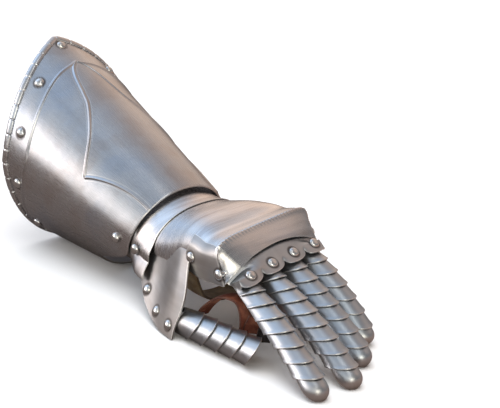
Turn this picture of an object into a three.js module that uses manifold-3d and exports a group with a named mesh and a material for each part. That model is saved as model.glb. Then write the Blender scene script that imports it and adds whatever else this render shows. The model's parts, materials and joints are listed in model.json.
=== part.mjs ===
// An armoured gauntlet for the left hand, resting on its cuff, its thumb and its fingertips.
// A long conical cuff, a wrist lame, a hand plate with a thumb wall and a knuckle plate turn on
// rivets. Overlapping lames cover the fingers and the thumb, each row riveted to a leather strip.
// Millimetres. +Z is up, the fingers point to -Y, the cuff opens to +Y, the thumb is on the -X side.
// Every sheet is a subdivided box or a closed lathe ring whose vertices are laid onto a formula:
// u and v run over the sheet and w runs through its thickness, from 0 inside to 1 outside. Angles
// round an arch or the cone start at its crown and turn towards the little finger.
import * as THREE from "three";
import { mergeVertices } from "three/addons/utils/BufferGeometryUtils.js";
import Module from "manifold-3d";

const wasm = await Module();
wasm.setup();

// ---------------------------------------------------------------- driving dimensions
const STEEL = 1.4; // plates
const LAME_STEEL = 1.0; // finger and thumb lames
const LEATHER = 1.6;
const GAP = 0.4; // between sheets that slide over each other
const SLOPE_X = 0.085; // the hand lies rolled a little towards the thumb

const CUFF = {
  tilt: 12, // degrees, the cone's axis rises towards the rim
  wrist: { halfWidth: 44, halfHeight: 41 },
  rim: { halfWidth: 60.5, halfHeight: 71.5 },
  coneLength: 150,
  underside: 0.8, // height of the wrist's lowest line
  undersideRise: 2.1, // how much higher that line is at the rim
  peakLength: 172,
  sideLength: 136,
  bottomLength: 114.5,
  peakSharpness: 1.5,
  bulge: 1.2,
  wristNotch: 38, // the wrist edge is cut back this far under the wrist
  roll: 2.9, // the rim's rolled edge stands out this far
  rivets: 9,
  rivetSpacing: 34, // degrees
  rivetInset: 12,
};

const WRIST_PIVOT = { y: 11.5, z: 42.8 };
const HAND_PIVOT = { y: -7.6, z: 40 };
const KNUCKLE_PIVOT = { y: -95.9, z: 56.5 };
const WRIST_REACH = 115; // degrees that the wrist lame wraps each side of its crown

const HAND = {
  rearY: -3,
  ridgeY: -91,
  ridgeSkew: 0.07, // the thumb end of the ridge lies further forward
  halfWidthRear: 39.6,
  halfWidthRidge: 45.8,
  crownRear: 72.6,
  crownRidge: 77,
  frontY: -103.7,
  frontSkew: 0.095,
  frontCrown: 66.5,
  frontDrop: 11,
};

const RIVET = { head: 3.8, height: 2.3, sunk: 0.6, shank: 1.9, tail: 2.7 };

const LAME_LAP = 5.5;
const LAME_BOW = 10; // a lame's edges reach this much further on its crown than on its sides
const FINGER_RADIUS = [10.6, 9.4]; // at the knuckle and at the tip
const FINGER_WRAP = 95;
const FINGERS = [
  { name: "index", root: [-30.6, -107, 41.6], splay: -9.5, lames: 8, pitch: 12.9, droop: [14, 30.9] },
  { name: "middle", root: [-9, -104, 44.6], splay: -3.8, lames: 9, pitch: 11.8, droop: [14, 33.5] },
  { name: "ring", root: [13, -101, 46.8], splay: 0.2, lames: 8, pitch: 11.5, droop: [20, 37.6] },
  { name: "little", root: [33.6, -99.5, 47.6], splay: 4.5, lames: 7, pitch: 10.7, droop: [24, 50] },
];
const KNUCKLE = { halfWidth: 42.4, unrolled: 47.8, sideZ: 50.5 };
const KNUCKLE_RIVETS = [
  [-31.4, -113],
  [-9.2, -110.4],
  [13.2, -107.4],
  [35.6, -104.6],
];

const THUMB = {
  root: [-51.5, -76, 10.3],
  splay: 5,
  lames: 5,
  pitch: 13.2,
  lap: 5,
  radius: 10.6,
  from: -150, // degrees from the crown, outer side
  to: 82, // degrees from the crown, palm side
};

const STRIP = { below: 3.3, spread: 45 }; // leather under the lames: depth below the steel, half arc
const STRAPS = {
  palm_strap: {
    points: [[40, -57, 51], [38, -57, 33], [18, -57, 15.5], [-8, -57, 12], [-27, -57, 20], [-38.6, -57, 48]],
    across: [0, 1, 0],
    width: 24,
    steps: 14,
  },
  thumb_loop: {
    points: [[-31, -70.5, 17], [-31, -84, 29.5], [-31, -99, 36], [-31, -110, 35], [-31, -114, 28], [-31, -109, 15]],
    across: [1, 0, 0],
    width: 10,
    steps: 12,
  },
  thumb_strap: {
    points: [[-30, -117, 14], [-30, -120, 21], [-30, -124, 28.5]],
    across: [0.8, -0.6, 0],
    width: 12,
    steps: 5,
  },
  thumb_tip_strap: {
    points: [[-28.5, -133, 12], [-29, -134, 17.5], [-30, -135.5, 22.5]],
    across: [0.8, -0.6, 0],
    width: 10,
    steps: 4,
    black: true,
  },
};
const PIVOT_RIVETS = {
  wrist_rivet: { head: 46.4, tail: 38.6, at: () => WRIST_PIVOT },
  hand_rivet: { head: 43.9, tail: 34.2, at: () => HAND_PIVOT },
  knuckle_rivet: { head: 46.2, tail: 40.2, at: (side) => knuckleAt(side) },
};

// ---------------------------------------------------------------- materials
const steelLook = new THREE.MeshStandardMaterial({ color: 0x9aa0a8, metalness: 0.95, roughness: 0.3 });
const rivetLook = new THREE.MeshStandardMaterial({ color: 0xd5d8dc, metalness: 1.0, roughness: 0.15 });
const leatherLook = new THREE.MeshStandardMaterial({ color: 0x5e3226, metalness: 0.0, roughness: 0.75 });
const blackLeatherLook = new THREE.MeshStandardMaterial({ color: 0x1f1a18, metalness: 0.0, roughness: 0.7 });

// ---------------------------------------------------------------- helpers
const rad = THREE.MathUtils.degToRad;
const lerp = THREE.MathUtils.lerp;
const vec = (x, y, z) => new THREE.Vector3(x, y, z);

function normalOf(surface, u, v) {
  const e = 1e-3;
  const along = surface(u + e, v).sub(surface(u - e, v));
  const across = surface(u, v + e).sub(surface(u, v - e));
  return along.cross(across).normalize();
}

// Moves each vertex of a geometry to place(position) and keeps only the positions.
function reshape(geometry, place) {
  const positions = geometry.getAttribute("position");
  for (let i = 0; i < positions.count; i++) {
    const p = place(vec(positions.getX(i), positions.getY(i), positions.getZ(i)));
    positions.setXYZ(i, p.x, p.y, p.z);
  }
  geometry.deleteAttribute("normal");
  geometry.deleteAttribute("uv");
  return mergeVertices(geometry, 1e-4);
}

// A sheet of metal or leather: surface(u, v) is its outer face, with u cross v pointing out.
function sheet(surface, thickness, alongSteps, acrossSteps) {
  return reshape(new THREE.BoxGeometry(1, 1, 1, alongSteps, acrossSteps, 1), (p) => {
    const u = p.x + 0.5;
    const v = p.y + 0.5;
    const depth = (p.z - 0.5) * thickness;
    return surface(u, v).addScaledVector(normalOf(surface, u, v), depth);
  });
}

// A sheet closed all the way round: surface(angle, v), and a profile of [w, v] corners.
function ring(surface, profile, thickness, steps) {
  const corners = profile.map(([w, v]) => new THREE.Vector2(10 + w, v));
  corners.push(corners[0].clone());
  return reshape(new THREE.LatheGeometry(corners, steps), (p) => {
    const angle = Math.atan2(p.x, p.z);
    const w = Math.hypot(p.x, p.z) - 10;
    return surface(angle, p.y).addScaledVector(normalOf(surface, angle, p.y), (w - 1) * thickness);
  });
}

function toSolid(geometry) {
  return new wasm.Manifold(
    new wasm.Mesh({
      numProp: 3,
      vertProperties: new Float32Array(geometry.getAttribute("position").array),
      triVerts: new Uint32Array(geometry.index.array),
    }),
  );
}

function toGeometry(solid) {
  const { numProp, vertProperties, triVerts } = solid.getMesh();
  const geometry = new THREE.BufferGeometry();
  const positions = new THREE.InterleavedBuffer(vertProperties, numProp);
  geometry.setAttribute("position", new THREE.InterleavedBufferAttribute(positions, 3, 0));
  geometry.setIndex(new THREE.BufferAttribute(triVerts, 1));
  return geometry.toNonIndexed();
}

// A domed head standing on the point along the normal, sunk a little into its sheet.
function rivetHead(point, normal) {
  const { head, height, sunk } = RIVET;
  return lathed(point, normal, [[0, -sunk], [head, -sunk], [head, 0], [head * 0.7, height * 0.75], [0, height]]);
}

// A whole rivet: its head outside, its shank through both sheets, its tail peened inside.
function throughRivet(point, normal, depth) {
  const { head, height, shank, tail } = RIVET;
  return lathed(point, normal, [
    [0, -depth],
    [tail, -depth],
    [tail, -depth + 1],
    [shank, -depth + 1],
    [shank, 0],
    [head, 0],
    [head * 0.7, height * 0.75],
    [0, height],
  ]);
}

function lathed(point, normal, profile) {
  const turn = new THREE.Quaternion().setFromUnitVectors(vec(0, 1, 0), normal);
  const corners = profile.map(([x, y]) => new THREE.Vector2(x, y));
  return reshape(new THREE.LatheGeometry(corners, 8), (p) => p.applyQuaternion(turn).add(point));
}

// A round hole along X through whatever lies at the pivot on one side of the hand.
function pivotHole(x, pivot) {
  const bore = new THREE.CylinderGeometry(RIVET.shank + GAP, RIVET.shank + GAP, 8, 12);
  return toSolid(reshape(bore, (p) => vec(p.y + x, pivot.y - p.x, p.z + pivot.z)));
}

function part(parent, name, geometry, material) {
  const mesh = new THREE.Mesh(geometry, material.clone());
  mesh.name = name;
  parent.add(mesh);
  return mesh;
}

// ---------------------------------------------------------------- cuff
const tilt = rad(CUFF.tilt);
const wristCentreZ = CUFF.underside + CUFF.wrist.halfHeight * Math.cos(tilt);
const riseAlongCone = CUFF.undersideRise / CUFF.bottomLength;
const centreShift =
  CUFF.rim.halfHeight - CUFF.wrist.halfHeight - CUFF.coneLength * (Math.tan(tilt) - riseAlongCone);

// The cone's outer face: t runs from the wrist to the rim.
function conePoint(angle, t) {
  const k = t / CUFF.coneLength;
  const bulge = CUFF.bulge * Math.sin(Math.PI * THREE.MathUtils.clamp(k, 0, 1));
  const halfWidth = lerp(CUFF.wrist.halfWidth, CUFF.rim.halfWidth, k) + bulge;
  const halfHeight = lerp(CUFF.wrist.halfHeight, CUFF.rim.halfHeight, k);
  const up = centreShift * k + halfHeight * Math.cos(angle);
  return vec(
    halfWidth * Math.sin(angle),
    t * Math.cos(tilt) - up * Math.sin(tilt),
    wristCentreZ + t * Math.sin(tilt) + up * Math.cos(tilt),
  );
}

function rimLength(angle) {
  const fromTop = Math.abs(Math.atan2(Math.sin(angle), Math.cos(angle)));
  const peak = Math.max(0, 1 - fromTop / (Math.PI / 2)) ** CUFF.peakSharpness;
  const under = Math.max(0, -Math.cos(fromTop));
  const { sideLength, peakLength, bottomLength } = CUFF;
  return sideLength + (peakLength - sideLength) * peak + (bottomLength - sideLength) * under;
}

// The wrist edge: a little proud on top, round ears at the pivots, cut back under the wrist.
function wristStart(angle) {
  const fromTop = Math.abs(Math.atan2(Math.sin(angle), Math.cos(angle)));
  const notch = THREE.MathUtils.smoothstep(fromTop, rad(100), rad(140));
  return -3.7 * Math.cos(fromTop) * (fromTop < Math.PI / 2 ? 1 : 0) + CUFF.wristNotch * notch;
}

function cuffSurface(angle, v) {
  return conePoint(angle, lerp(wristStart(angle), rimLength(angle), v));
}

function cuffRivets() {
  return Array.from({ length: CUFF.rivets }, (_, i) => {
    const angle = rad((i - (CUFF.rivets - 1) / 2) * CUFF.rivetSpacing);
    const t = rimLength(angle) - CUFF.rivetInset;
    const cone = (a, s) => conePoint(a, s);
    return toSolid(rivetHead(conePoint(angle, t), normalOf(cone, angle, t)));
  });
}

function cuff() {
  const lip = CUFF.roll / STEEL;
  const rollLength = 5 / CUFF.sideLength;
  const profile = [
    [0, 1],
    [0, 0.66],
    [0, 0.33],
    [0, 0],
    [1, 0],
    [1, 0.33],
    [1, 0.66],
    [1, 1 - rollLength],
    [1 + lip, 1 - rollLength * 0.7],
    [1 + lip, 1 - rollLength * 0.25],
    [1, 1],
  ];
  let solid = toSolid(ring(cuffSurface, profile, STEEL, 44));
  cuffRivets().forEach((rivet) => {
    solid = solid.add(rivet);
  });
  [-1, 1].forEach((side) => {
    solid = solid.subtract(pivotHole(side * CUFF.wrist.halfWidth, WRIST_PIVOT));
  });
  return toGeometry(solid);
}

// ---------------------------------------------------------------- wrist lame
// An arch from under the cuff's wrist edge to over the back of the hand plate.
function wristSurface(u, v) {
  const angle = rad(lerp(-WRIST_REACH, WRIST_REACH, v));
  const side = Math.abs(Math.sin(angle));
  const low = Math.max(0, -Math.cos(angle) - 0.1) * THREE.MathUtils.smoothstep(u, 0.28, 0.75);
  const clear = THREE.MathUtils.smoothstep(u, 0.5, 1);
  const halfWidth = lerp(41.6, 45, clear) + (angle < 0 ? 33 : 3) * low;
  const crown = lerp(75.4, 76.2, u);
  const centre = lerp(42, 40.5, u);
  const rear = lerp(3, 21, side ** 2);
  const front = lerp(-30, -24, side ** 2);
  const y = lerp(rear, front, u);
  const x = halfWidth * Math.sin(angle);
  return vec(x, y, centre + (crown - centre) * Math.cos(angle) + 0.4 * SLOPE_X * clear * x);
}

function wristLame() {
  let solid = toSolid(sheet(wristSurface, STEEL, 4, 26));
  [-1, 1].forEach((side) => {
    solid = solid.subtract(pivotHole(side * 43, WRIST_PIVOT));
    solid = solid.subtract(pivotHole(side * 43, HAND_PIVOT));
  });
  return toGeometry(solid);
}

// ---------------------------------------------------------------- hand plate
// The back of the hand: round at the wrist, flat topped and square at the ridge over the knuckles.
function backSection(k, angle) {
  const halfWidth = lerp(HAND.halfWidthRear, HAND.halfWidthRidge, Math.max(0, k) ** 0.9);
  const valley = 1.8 * Math.exp(-(((k - 0.84) / 0.08) ** 2));
  const rise = THREE.MathUtils.smoothstep(k, 0.25, 0.6);
  const crown = lerp(HAND.crownRear, HAND.crownRidge, rise) - valley;
  const centre = lerp(40, 50, k);
  const squareness = lerp(2, 6.5, Math.max(0, k) ** 2.4);
  const corner = Math.abs(Math.sin(angle)) ** squareness + Math.abs(Math.cos(angle)) ** squareness;
  const reach = corner ** (-1 / squareness);
  const x = halfWidth * reach * Math.sin(angle);
  const z = centre + (crown - centre) * reach * Math.cos(angle);
  const y = lerp(HAND.rearY, HAND.ridgeY, k) + HAND.ridgeSkew * k * x;
  return vec(x, y, z + SLOPE_X * k * x);
}

function backSurface(u, v) {
  return backSection(u, rad(lerp(-90, 94, v)));
}

// The face in front of the ridge: its lower edge is an arch over the knuckle plate.
function frontSurface(u, v) {
  const angle = rad(lerp(-90, 94, v));
  const top = backSection(1, angle);
  const x = top.x * 0.99;
  const edge = HAND.frontCrown - HAND.frontDrop * (x / 44) ** 2;
  const skirt = (1 - Math.abs(Math.cos(angle)) ** 0.3) * 5;
  const bottom = vec(x, HAND.frontY + HAND.frontSkew * x, edge + SLOPE_X * x - skirt);
  bottom.z = Math.min(bottom.z, top.z);
  return top.lerp(bottom, u);
}

// The wall that runs down from the back of the hand to the thumb's root.
const wallFoot = new THREE.CatmullRomCurve3([
  vec(-39.4, -4, 33),
  vec(-43.5, -14, 24),
  vec(-53, -30, 13),
  vec(-59, -46, 5),
  vec(-63, -60, 1.4),
  vec(-65.5, -76, 0.8),
]);

function thumbWallSurface(u, v) {
  const k = lerp(0.02, 0.72, u);
  const top = backSection(k, rad(-65));
  top.x += 0.5;
  const foot = wallFoot.getPoint(THREE.MathUtils.clamp(u, 0, 1));
  const down = 1 - v;
  const frontBow = -5 * Math.max(0, u) ** 6 * Math.sin(Math.PI * down) ** 2;
  const flare = lerp(1.7, 0.75, THREE.MathUtils.smoothstep(u, 0.4, 0.9));
  return vec(
    lerp(top.x, foot.x, Math.max(0, down) ** flare),
    lerp(top.y, foot.y, down) + frontBow,
    lerp(top.z, foot.z, down),
  );
}

// The rivets that hold the cheek over the thumb wall, and those along the wall's lower edge.
function handRivets() {
  const wallRivets = [0.4, 0.65, 0.9].map((u) => [thumbWallSurface, u, 0.15]);
  return [[backSurface, 0.74, 0.11], ...wallRivets].map(([surface, u, v]) =>
    toSolid(rivetHead(surface(u, v), normalOf(surface, u, v))),
  );
}

function handPlate() {
  let solid = toSolid(sheet(backSurface, STEEL, 10, 26));
  solid = solid.add(toSolid(sheet(frontSurface, STEEL, 3, 26)));
  solid = solid.add(toSolid(sheet(thumbWallSurface, STEEL, 9, 6)));
  handRivets().forEach((rivet) => {
    solid = solid.add(rivet);
  });
  [-1, 1].forEach((side) => {
    solid = solid.subtract(pivotHole(side * 39.8, HAND_PIVOT));
    solid = solid.subtract(pivotHole(side * 45, knuckleAt(side)));
  });
  return toGeometry(solid);
}

// Where the knuckle pivot's axis meets one side of the hand.
function knuckleAt(side) {
  const x = side * HAND.halfWidthRidge;
  return { y: KNUCKLE_PIVOT.y + HAND.frontSkew * x, z: KNUCKLE_PIVOT.z + SLOPE_X * x };
}

// ---------------------------------------------------------------- knuckle plate
// It lies under the front face, turns down over both sides and ends in four round lobes.
function lobeLength(x) {
  const reach = 11.2;
  return KNUCKLE_RIVETS.reduce((longest, [rivetX]) => {
    const d = (x - rivetX) / reach;
    return Math.max(longest, Math.abs(d) < 1 ? Math.sqrt(1 - d * d) : 0);
  }, 0);
}

function knuckleRow(row, x) {
  const edge = HAND.frontCrown - HAND.frontDrop * (x / 44) ** 2 + SLOPE_X * x;
  const rivetLine = 58.3 + SLOPE_X * x - 1.2 * (x / 33) ** 2;
  const lobe = lobeLength(x);
  const ear = (x / KNUCKLE.halfWidth) ** 4;
  const rows = [
    vec(x, -94.4 + HAND.frontSkew * x + 3 * ear, edge + 0.6 + 5 * ear),
    vec(x, HAND.frontY + HAND.frontSkew * x, edge - STEEL - 1.7 - 2 * (x / 43) ** 4),
    vec(x, -110 + 0.132 * x, rivetLine),
    vec(x, -110 + 0.132 * x - 1 - 6.5 * lobe, rivetLine - 0.5 - 4 * lobe),
  ];
  return rows[row];
}

function knuckleSurface(u, v) {
  const reach = (2 * v - 1) * KNUCKLE.unrolled;
  const x = THREE.MathUtils.clamp(reach, -KNUCKLE.halfWidth, KNUCKLE.halfWidth);
  const turned = Math.max(0, Math.abs(reach) - KNUCKLE.halfWidth) / (KNUCKLE.unrolled - KNUCKLE.halfWidth);
  const at = THREE.MathUtils.clamp(u, 0, 1) * 3;
  const row = Math.min(2, Math.floor(at));
  const p = knuckleRow(row, x).lerp(knuckleRow(row + 1, x), at - row);
  if (row === 0) p.z += 4.5 * (x / KNUCKLE.halfWidth) ** 4 * Math.sin(Math.PI * at);
  p.z = lerp(p.z, KNUCKLE.sideZ + SLOPE_X * x, turned);
  return p;
}

function knucklePlate() {
  let solid = toSolid(sheet(knuckleSurface, LAME_STEEL, 6, 48));
  KNUCKLE_RIVETS.forEach(([x]) => {
    const v = (x / KNUCKLE.unrolled + 1) / 2;
    const rivet = rivetHead(knuckleSurface(0.7, v), normalOf(knuckleSurface, 0.7, v));
    solid = solid.add(toSolid(rivet));
  });
  [-1, 1].forEach((side) => {
    solid = solid.subtract(pivotHole(side * 45, knuckleAt(side)));
  });
  return toGeometry(solid);
}

// ---------------------------------------------------------------- lames
// A finger lame: a flaring half round sheet whose front edge is longest on its crown.
function lameSurface(length, rear, front, from, to, bowAt) {
  return (u, v) => {
    const angle = rad(lerp(from, to, v));
    const radius = lerp(rear, front, u);
    const reach = length * u - LAME_BOW * (1 - Math.cos(angle - bowAt));
    return vec(radius * Math.sin(angle), -reach, radius * Math.cos(angle));
  };
}

// The last lame closes round the fingertip.
function tipSurface(length, rear, front, wrap) {
  return (u, v) => {
    const angle = rad(lerp(-wrap, wrap, v));
    const start = 0.4;
    const k = Math.max(0, (Math.min(u, 1.01) - start) / (1 - start));
    const closing = Math.sqrt(Math.max(0.03, 1 - k ** 2.6));
    const radius = lerp(rear, front, Math.min(1, u)) * closing;
    const reach = length * u - LAME_BOW * (1 - Math.cos(angle)) * Math.max(0, 1 - u);
    return vec(radius * Math.sin(angle), -reach, radius * Math.cos(angle));
  };
}

function fingerLames(parent, finger) {
  const group = new THREE.Group();
  group.position.set(...finger.root);
  group.rotation.z = rad(finger.splay);
  parent.add(group);
  const length = finger.pitch + LAME_LAP;
  let y = 0;
  let z = 0;
  for (let i = 0; i < finger.lames; i++) {
    const last = i === finger.lames - 1;
    const droop = rad(lerp(finger.droop[0], finger.droop[1], i / (finger.lames - 1)));
    const radius = lerp(FINGER_RADIUS[0], FINGER_RADIUS[1], i / (finger.lames - 1));
    const rear = radius - LAME_STEEL - 2 * GAP;
    const surface = last
      ? tipSurface(length - 2, rear, radius, FINGER_WRAP)
      : lameSurface(length, rear, radius, -FINGER_WRAP, FINGER_WRAP, 0);
    const geometry = sheet(surface, LAME_STEEL, last ? 5 : 1, 10);
    const mesh = part(group, `${finger.name}_lame_${i + 1}`, geometry, steelLook);
    mesh.position.set(0, y, z);
    mesh.rotation.x = droop;
    y -= finger.pitch * Math.cos(droop);
    z -= finger.pitch * Math.sin(droop);
  }
  return group;
}

function thumbLames(parent) {
  const group = new THREE.Group();
  group.position.set(...THUMB.root);
  group.rotation.z = rad(THUMB.splay);
  parent.add(group);
  const innerRadius = THUMB.radius - LAME_STEEL - 1.6 * GAP;
  for (let i = 0; i < THUMB.lames; i++) {
    const length = THUMB.pitch + THUMB.lap;
    const surface = lameSurface(length, innerRadius, THUMB.radius, THUMB.from, THUMB.to, rad(-45));
    const mesh = part(group, `thumb_lame_${i + 1}`, sheet(surface, LAME_STEEL, 1, 12), steelLook);
    mesh.position.set(0, -i * THUMB.pitch, 0);
  }
  return group;
}

// ---------------------------------------------------------------- leather
// A strip curved across its width under a row of lames, along a curve in the row's own YZ plane.
function underStrip(curve, radius, middle, spread) {
  return (u, v) => {
    const at = THREE.MathUtils.clamp(u, 0, 1);
    const centre = curve.getPoint(at);
    const along = curve.getTangent(at);
    const up = vec(0, along.z, -along.y);
    const angle = rad(middle + lerp(-spread, spread, v));
    const out = up.multiplyScalar(Math.cos(angle)).add(vec(Math.sin(angle), 0, 0));
    return centre.addScaledVector(out, radius).addScaledVector(along, (u - at) * 10);
  };
}

function fingerStrip(group, finger) {
  const stations = group.children.map((lame) => lame.position.clone());
  const last = stations.at(-1);
  const droop = rad(finger.droop[1]);
  stations.push(vec(0, last.y - 7 * Math.cos(droop), last.z - 7 * Math.sin(droop)));
  const curve = new THREE.CatmullRomCurve3(stations);
  const surface = underStrip(curve, FINGER_RADIUS[1] - STRIP.below, 0, STRIP.spread);
  const geometry = sheet(surface, LEATHER, finger.lames + 4, 2);
  part(group, `${finger.name}_leather`, geometry, leatherLook);
}

function thumbStrip(group) {
  const end = (THUMB.lames - 0.2) * THUMB.pitch;
  const curve = new THREE.CatmullRomCurve3([vec(0, 2, 0), vec(0, -end / 2, 0), vec(0, -end, 0)]);
  const surface = underStrip(curve, THUMB.radius - STRIP.below, -35, STRIP.spread);
  part(group, "thumb_leather", sheet(surface, LEATHER, 4, 3), leatherLook);
}

// A strap of even width that follows a curve: across is the direction of its width.
function strap(points, across, width, steps) {
  const curve = new THREE.CatmullRomCurve3(points.map((p) => vec(...p)));
  const side = vec(...across).normalize();
  const surface = (u, v) => {
    const at = THREE.MathUtils.clamp(u, 0, 1);
    const beyond = curve.getTangent(at).multiplyScalar((u - at) * 10);
    return curve.getPoint(at).add(beyond).addScaledVector(side, (v - 0.5) * width);
  };
  return sheet(surface, LEATHER, steps, 2);
}

// ---------------------------------------------------------------- pivot rivets
// Each goes through both sheets, its head outside and its tail peened inside.
function pivotRivets(parent) {
  Object.entries(PIVOT_RIVETS).forEach(([name, { head, tail, at }]) => {
    [-1, 1].forEach((side) => {
      const pivot = at(side);
      const base = vec(side * head, pivot.y, pivot.z);
      const geometry = throughRivet(base, vec(side, 0, 0), head - tail);
      part(parent, `${name}_${side < 0 ? "thumb" : "little"}_side`, geometry, rivetLook);
    });
  });
}

// ---------------------------------------------------------------- assembly
const gauntlet = new THREE.Group();
const pieces = new THREE.Group();
gauntlet.add(pieces);
part(pieces, "cuff", cuff(), steelLook);
part(pieces, "wrist_lame", wristLame(), steelLook);
part(pieces, "hand_plate", handPlate(), steelLook);
part(pieces, "knuckle_plate", knucklePlate(), steelLook);
FINGERS.forEach((finger) => fingerStrip(fingerLames(pieces, finger), finger));
thumbStrip(thumbLames(pieces));
Object.entries(STRAPS).forEach(([name, { points, across, width, steps, black }]) => {
  part(pieces, name, strap(points, across, width, steps), black ? blackLeatherLook : leatherLook);
});
pivotRivets(pieces);

// The origin is under the middle of the whole, on the surface that it rests on.
gauntlet.updateMatrixWorld(true);
const bounds = new THREE.Box3().setFromObject(gauntlet, true);
const middle = bounds.getCenter(new THREE.Vector3());
pieces.position.set(-middle.x, -middle.y, -bounds.min.z);

export default gauntlet;
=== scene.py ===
# %% [markdown]
# # An armoured gauntlet, left hand
# The real object is a glove of steel sheet. A long pointed cuff covers the forearm, a narrow
# lame covers the wrist, a boxy plate covers the back of the hand, and rows of small overlapping
# lames, riveted to strips of leather, cover the fingers and the thumb.
# This file builds it one piece at a time. Each sheet of steel starts as a flat grid, its points
# are laid onto a curved surface, and a Solidify modifier gives the sheet its gauge. That is how
# the armourer works too: a flat blank is cut, bent, and trimmed, and nothing gets thicker.

import json
import math

import bmesh
import bpy
import numpy as np
from mathutils import Matrix, Vector


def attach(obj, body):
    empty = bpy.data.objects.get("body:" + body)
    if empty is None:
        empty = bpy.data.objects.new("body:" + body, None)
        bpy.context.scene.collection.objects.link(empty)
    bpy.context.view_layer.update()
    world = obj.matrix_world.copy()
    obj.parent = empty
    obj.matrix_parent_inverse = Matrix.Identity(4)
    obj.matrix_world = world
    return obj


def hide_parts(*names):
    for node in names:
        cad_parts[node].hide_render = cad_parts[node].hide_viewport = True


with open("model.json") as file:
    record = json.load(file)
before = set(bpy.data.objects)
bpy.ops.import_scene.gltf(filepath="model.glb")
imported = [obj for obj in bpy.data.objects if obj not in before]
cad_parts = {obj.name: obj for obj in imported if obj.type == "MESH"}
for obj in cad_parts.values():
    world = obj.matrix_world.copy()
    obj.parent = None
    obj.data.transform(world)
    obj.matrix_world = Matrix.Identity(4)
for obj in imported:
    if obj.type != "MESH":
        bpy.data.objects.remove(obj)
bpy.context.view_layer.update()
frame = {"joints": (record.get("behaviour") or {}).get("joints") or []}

# %% [markdown]
# ## The drawing's own frame
# Every curve below is drawn in millimetres from a point on the floor under the wrist, because
# those numbers are easy to read. The wrist pivot is known in both frames, so one shift carries
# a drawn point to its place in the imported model.

# %% Drawn millimetres to placed metres
MM = 0.001
joints = {joint["name"]: joint for joint in frame["joints"]}
WRIST_PIVOT = Vector((0, 11.5, 42.8))
HAND_PIVOT = Vector((0, -7.6, 40))
KNUCKLE_PIVOT = Vector((0, -95.9, 56.5))
SHIFT = Vector(joints["wrist_pivot"]["pos_m"]) - WRIST_PIVOT * MM


def placed(point):
    return Vector(point) * MM + SHIFT


def lerp(a, b, k):
    return a + (b - a) * k


def clamp(value, low=0.0, high=1.0):
    return max(low, min(high, value))


def smooth(value, low, high):
    k = clamp((value - low) / (high - low))
    return k * k * (3 - 2 * k)


print("shift in mm:", [round(v / MM, 2) for v in SHIFT])

# %% [markdown]
# ## Camera
# A long lens a little over a metre away keeps the perspective gentle, as in a catalogue. The
# camera stands in front of the thumb side, 20 degrees above the floor, and leans over slightly.

# %% Place the camera
CAMERA = {"lens": 120.77, "sensor": 36, "aim": (94.384, 22.818, 36.332), "distance_m": 1.3}
CAMERA_TURN = (-43.364, 20, 3.307)
azimuth, elevation, roll = (math.radians(a) for a in CAMERA_TURN)
level = math.cos(elevation)
back = Vector((math.sin(azimuth) * level, -math.cos(azimuth) * level, math.sin(elevation)))
level_right = Vector((math.cos(azimuth), math.sin(azimuth), 0))
level_up = back.cross(level_right)
right = level_right * math.cos(roll) + level_up * math.sin(roll)
up = level_up * math.cos(roll) - level_right * math.sin(roll)
turn = Matrix((right, up, back)).transposed().to_4x4()

camera_data = bpy.data.cameras.new("camera")
camera_data.sensor_fit = "HORIZONTAL"
camera_data.sensor_width = CAMERA["sensor"]
camera_data.lens = CAMERA["lens"]
camera = bpy.data.objects.new("camera", camera_data)
camera.matrix_world = Matrix.Translation(placed(CAMERA["aim"]) + back * CAMERA["distance_m"]) @ turn
bpy.context.collection.objects.link(camera)
bpy.context.scene.camera = camera
print("lens", round(camera_data.lens, 1), "mm")

# %% [markdown]
# ## Nodes
# Materials and the sky are nets of nodes. Each helper here adds one node, joins it up, and
# returns its output, so a recipe reads like a sum: every step names what it makes.

# %% Helpers for node trees
MIX_AMOUNT, MIX_FIRST, MIX_SECOND, MIX_RESULT = 0, 6, 7, 2
RANGE_SOCKETS = ("From Min", "From Max", "To Min", "To Max")


def link_nodes(tree, *pairs):
    for source, target in pairs:
        tree.links.new(source, target)


def add_node(tree, kind, **settings):
    node = tree.nodes.new(kind)
    for key, value in settings.items():
        setattr(node, key, value)
    return node


def feed(tree, socket, value):
    """Join a socket to another node's output, or give it a plain value."""
    if isinstance(value, bpy.types.NodeSocket):
        tree.links.new(value, socket)
    else:
        socket.default_value = value


def maths(tree, operation, first, second):
    node = add_node(tree, "ShaderNodeMath", operation=operation)
    feed(tree, node.inputs[0], first)
    feed(tree, node.inputs[1], second)
    return node.outputs[0]


def remap(tree, value, *limits):
    """Turn one range softly into another: low, high, new low, new high."""
    node = add_node(tree, "ShaderNodeMapRange", interpolation_type="SMOOTHSTEP")
    for key, limit in zip(RANGE_SOCKETS, limits):
        node.inputs[key].default_value = limit
    tree.links.new(value, node.inputs["Value"])
    return node.outputs["Result"]


def blend_colour(tree, amount, first, second, mode="MIX"):
    node = add_node(tree, "ShaderNodeMix", data_type="RGBA", blend_type=mode)
    feed(tree, node.inputs[MIX_AMOUNT], amount)
    feed(tree, node.inputs[MIX_FIRST], first)
    feed(tree, node.inputs[MIX_SECOND], second)
    return node.outputs[MIX_RESULT]


def along_direction(tree, vector, direction):
    node = add_node(tree, "ShaderNodeVectorMath", operation="DOT_PRODUCT")
    node.inputs[1].default_value = direction
    tree.links.new(vector, node.inputs[0])
    return node.outputs["Value"]


# %% [markdown]
# ## Floor and light
# Polished steel has almost no colour of its own: it shows what stands around it. So the room
# matters as much as the metal. The floor is pale and plain to the eye. In the steel it is
# dark brown under the cuff, warmer on the little-finger side, and cream in front of the thumb
# and the fingertips, because a white floor would leave the plates no dark to show their shape.
# A Light Path node tells a mirrored ray from the others.

# %% Floor
FLOOR_DARK = (0.13, 0.105, 0.095, 1)
FLOOR_WARM = (0.40, 0.27, 0.215, 1)
FLOOR_CREAM = (0.95, 0.90, 0.84, 1)
FLOOR_WARM_FROM = 0.26
FLOOR_CREAM_RANGE = (0.30, 0.55)

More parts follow.
